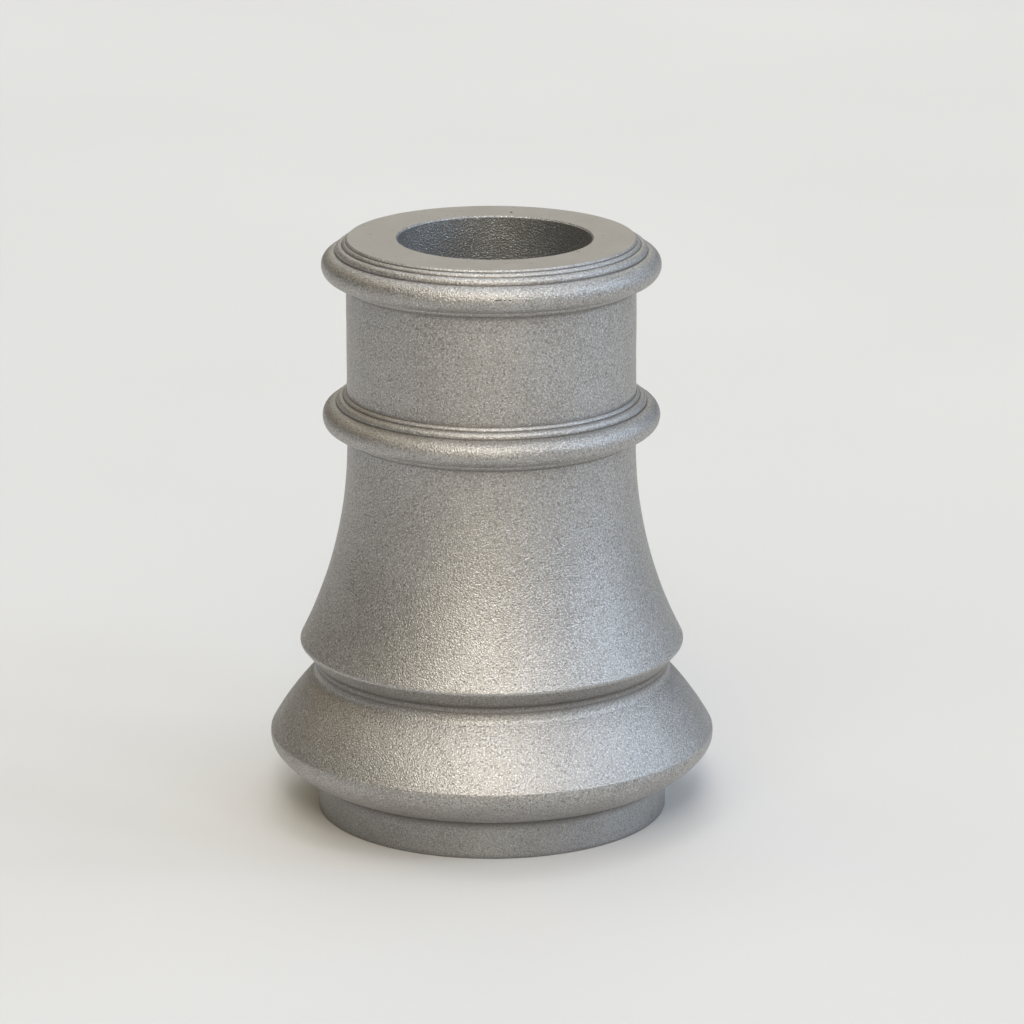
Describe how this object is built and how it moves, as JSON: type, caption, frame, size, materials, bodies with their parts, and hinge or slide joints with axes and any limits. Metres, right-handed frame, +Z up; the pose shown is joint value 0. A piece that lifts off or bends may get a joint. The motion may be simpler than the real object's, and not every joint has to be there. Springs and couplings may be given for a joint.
{
  "type": "stanchion base",
  "caption": "Hollow ornamental cast stanchion base with ring mouldings, a bell, a swelling foot and a plinth; back screws clamp a tube in its through bore.",
  "frame": {"origin": "on the deck, on the axis of the outside mouldings", "axes": "+Z up along the bore, towards the stanchion; +Y towards the clamp screws at the back"},
  "size_m": [0.1162, 0.1162, 0.1525],
  "materials": {
    "cast_aluminium": "shot-blasted sand casting",
    "stainless": "machined",
    "pad_brass": "turned"
  },
  "bodies": {
    "base": {"body_casting": "cast_aluminium", "clamp_insert_left": "stainless", "clamp_insert_right": "stainless", "deck_insert_1": "stainless", "deck_insert_2": "stainless", "deck_insert_3": "stainless", "deck_insert_4": "stainless"},
    "pad_left": {"clamp_pad_left": "pad_brass"},
    "screw_left": {"clamp_screw_left": "stainless"},
    "pad_right": {"clamp_pad_right": "pad_brass"},
    "screw_right": {"clamp_screw_right": "stainless"}
  },
  "joints": [
    {"name": "pad_feed_left", "type": "slide", "parent": "base", "child": "pad_left", "axis": [0.5736, -0.8192, 0], "range_m": [-0.00125, 0.0025]},
    {"name": "screw_turn_left", "type": "hinge", "parent": "pad_left", "child": "screw_left", "pos_m": [-0.01975, 0.02949, 0.12577], "axis": [0.5736, -0.8192, 0], "range_deg": [-360, 720]},
    {"name": "pad_feed_right", "type": "slide", "parent": "base", "child": "pad_right", "axis": [-0.5736, -0.8192, 0], "range_m": [-0.00125, 0.0025]},
    {"name": "screw_turn_right", "type": "hinge", "parent": "pad_right", "child": "screw_right", "pos_m": [0.02155, 0.02949, 0.12577], "axis": [-0.5736, -0.8192, 0], "range_deg": [-360, 720]}
  ],
  "couplings": [
    {"joint": "screw_turn_left", "follows": "pad_feed_left", "rad_per_m": 5026.5},
    {"joint": "screw_turn_right", "follows": "pad_feed_right", "rad_per_m": 5026.5}
  ]
}
